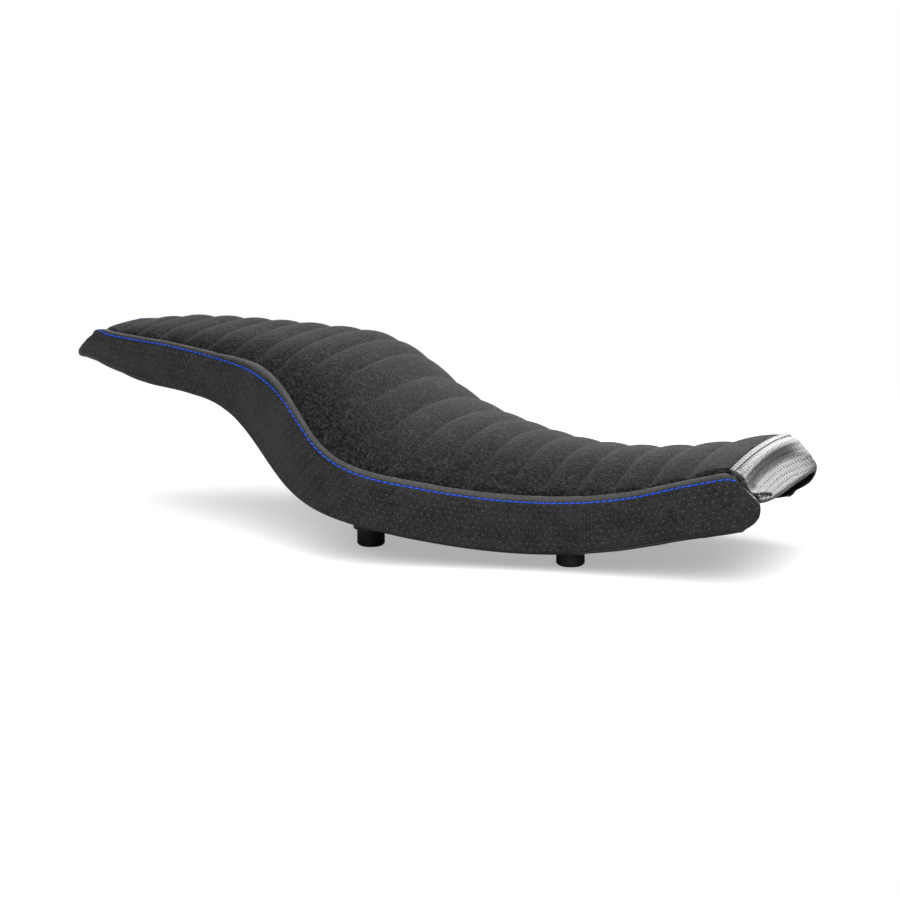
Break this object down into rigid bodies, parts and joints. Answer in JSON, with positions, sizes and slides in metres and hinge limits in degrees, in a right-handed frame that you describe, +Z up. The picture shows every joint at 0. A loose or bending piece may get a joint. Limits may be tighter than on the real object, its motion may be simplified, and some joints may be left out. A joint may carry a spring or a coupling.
{
  "type": "motorcycle seat",
  "caption": "Low two-up motorcycle seat with a dipped rider saddle, a kicked-up pillion, a pleated top and plain side bands.",
  "frame": {"origin": "middle of the seat's outline, on the plane of the four bumper feet", "axes": "+X to the nose, +Y to the rider's left, +Z up"},
  "size_m": [0.722, 0.3108, 0.1777],
  "materials": {
    "suede": "black synthetic suede, short nap, matt with a faint sheen",
    "vinyl": "black perforated vinyl with a fine leather grain, satin",
    "foam": "open-cell polyurethane foam, matt",
    "pan_plastic": "moulded black plastic, fine spark texture",
    "bumper_rubber": "black moulded rubber, satin",
    "black_steel": "black powder-coated steel strip",
    "zinc_steel": "zinc-plated steel",
    "insert_brass": "turned brass"
  },
  "bodies": {
    "root": {"top_panel": "suede", "foam_topper": "foam", "nose_panel": "vinyl", "side_band_left": "vinyl", "side_band_right": "vinyl", "foam_core": "foam", "base_pan": "pan_plastic", "bumper_front_right": "bumper_rubber", "bumper_front_left": "bumper_rubber", "bumper_rear_right": "bumper_rubber", "bumper_rear_left": "bumper_rubber", "bumper_washers": "zinc_steel", "bumper_screws": "zinc_steel", "front_hook": "black_steel", "rear_tab": "black_steel", "front_hook_screws": "zinc_steel", "rear_tab_screws": "zinc_steel", "threaded_inserts": "insert_brass", "staples_right": "zinc_steel", "staples_left": "zinc_steel"}
  },
  "joints": []
}
